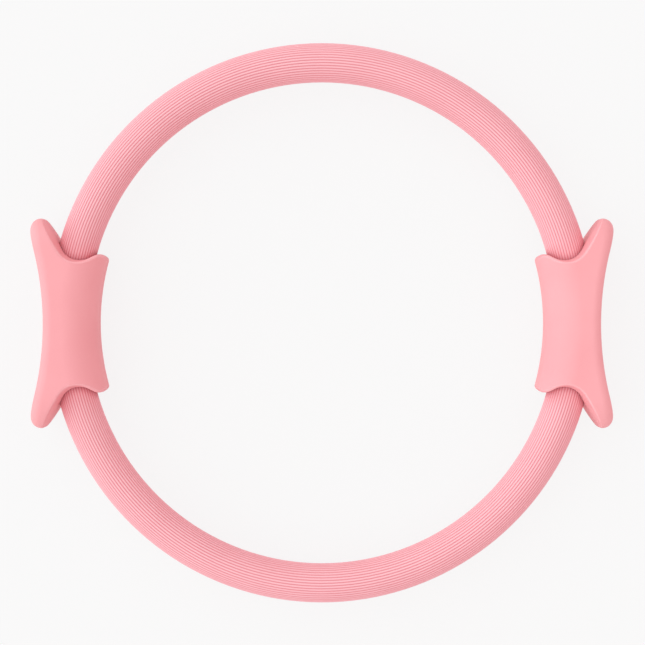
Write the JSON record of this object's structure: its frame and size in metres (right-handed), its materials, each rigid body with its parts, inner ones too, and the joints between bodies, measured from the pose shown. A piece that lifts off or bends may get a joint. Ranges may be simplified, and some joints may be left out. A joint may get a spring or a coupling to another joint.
{
  "type": "pilates ring",
  "caption": "Springy exercise ring with a ribbed soft sleeve round each half hoop and flared, padded handles at opposite sides, squeezed between the hands or legs for resistance.",
  "frame": {"origin": "On the ground under the ring's centre: the middle of the ring's window in plan, level with the rear faces of both handles", "axes": "The ring lies flat: +Z is the ring's axis and points to the front, as pictured; +X runs from the left handle to the right handle; +Y is up in the picture"},
  "size_m": [0.3796, 0.3674, 0.052],
  "materials": {
    "shell": "matte",
    "pad": "matte",
    "sleeve": "matte",
    "leaf": "satin",
    "ferrule": "satin",
    "steel": "satin"
  },
  "bodies": {
    "left_handle": {"left_front_shell": "shell", "left_rear_shell": "shell", "left_palm_pad": "pad", "left_shell_screws": "steel", "upper_left_ferrule": "ferrule", "upper_left_rivets": "steel", "lower_left_ferrule": "ferrule", "lower_left_rivets": "steel"},
    "upper_hoop": {"upper_sleeve": "sleeve", "upper_outer_leaf": "leaf", "upper_inner_leaf": "leaf"},
    "right_handle": {"right_front_shell": "shell", "right_rear_shell": "shell", "right_palm_pad": "pad", "right_shell_screws": "steel", "upper_right_ferrule": "ferrule", "upper_right_rivets": "steel"},
    "lower_hoop": {"lower_sleeve": "sleeve", "lower_outer_leaf": "leaf", "lower_inner_leaf": "leaf"},
    "lower_right_end": {"lower_right_ferrule": "ferrule", "lower_right_rivets": "steel"}
  },
  "joints": [
    {"name": "upper_bow", "type": "slide", "parent": "left_handle", "child": "upper_hoop", "axis": [-0.7458, 0.6662, 0], "range_m": [-0.0134, 0.0603], "stiffness_N_per_m": 3280, "deforming": ["upper_sleeve", "upper_outer_leaf", "upper_inner_leaf"]},
    {"name": "squeeze", "type": "slide", "parent": "upper_hoop", "child": "right_handle", "axis": [-0.7458, -0.6662, 0], "range_m": [-0.0134, 0.0603], "deforming": ["upper_sleeve", "upper_outer_leaf", "upper_inner_leaf", "lower_sleeve", "lower_outer_leaf", "lower_inner_leaf"]},
    {"name": "lower_bow", "type": "slide", "parent": "left_handle", "child": "lower_hoop", "axis": [-0.7458, -0.6662, 0], "range_m": [-0.0134, 0.0603], "deforming": ["lower_sleeve", "lower_outer_leaf", "lower_inner_leaf"]},
    {"name": "lower_end_follow", "type": "slide", "parent": "lower_hoop", "child": "lower_right_end", "axis": [-0.7458, 0.6662, 0], "range_m": [-0.0134, 0.0603], "deforming": ["lower_sleeve", "lower_outer_leaf", "lower_inner_leaf"]}
  ],
  "couplings": [
    {"joint": "squeeze", "follows": "upper_bow", "ratio": 1},
    {"joint": "lower_bow", "follows": "upper_bow", "ratio": 1},
    {"joint": "lower_end_follow", "follows": "upper_bow", "ratio": 1}
  ]
}
